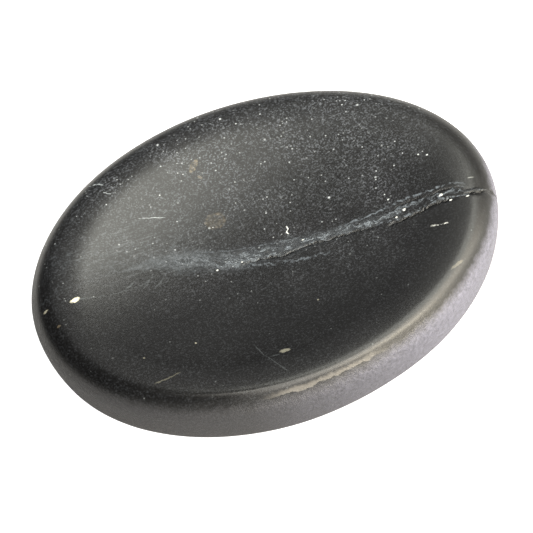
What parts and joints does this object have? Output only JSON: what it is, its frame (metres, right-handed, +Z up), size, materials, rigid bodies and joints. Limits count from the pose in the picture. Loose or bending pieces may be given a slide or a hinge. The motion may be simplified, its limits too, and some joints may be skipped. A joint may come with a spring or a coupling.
{
  "type": "massage stone",
  "caption": "Flat oval palm stone of honed black basalt, with a shallow thumb hollow ground into its top, a soft rounded rim and a flat base.",
  "frame": {"origin": "on the plane of the flat base, under the middle of the stone's outline", "axes": "+X along the stone's long axis, +Y across it, +Z up out of the hollow side; the deepest spot of the hollow lies towards -X"},
  "size_m": [0.045, 0.0366, 0.0065],
  "materials": {
    "honed_basalt": "honed by hand to a satin skin, black-grey, with one pale blue-grey mineral vein across the top and small white and tan grains"
  },
  "bodies": {
    "root": {"stone": "honed_basalt"}
  },
  "joints": []
}
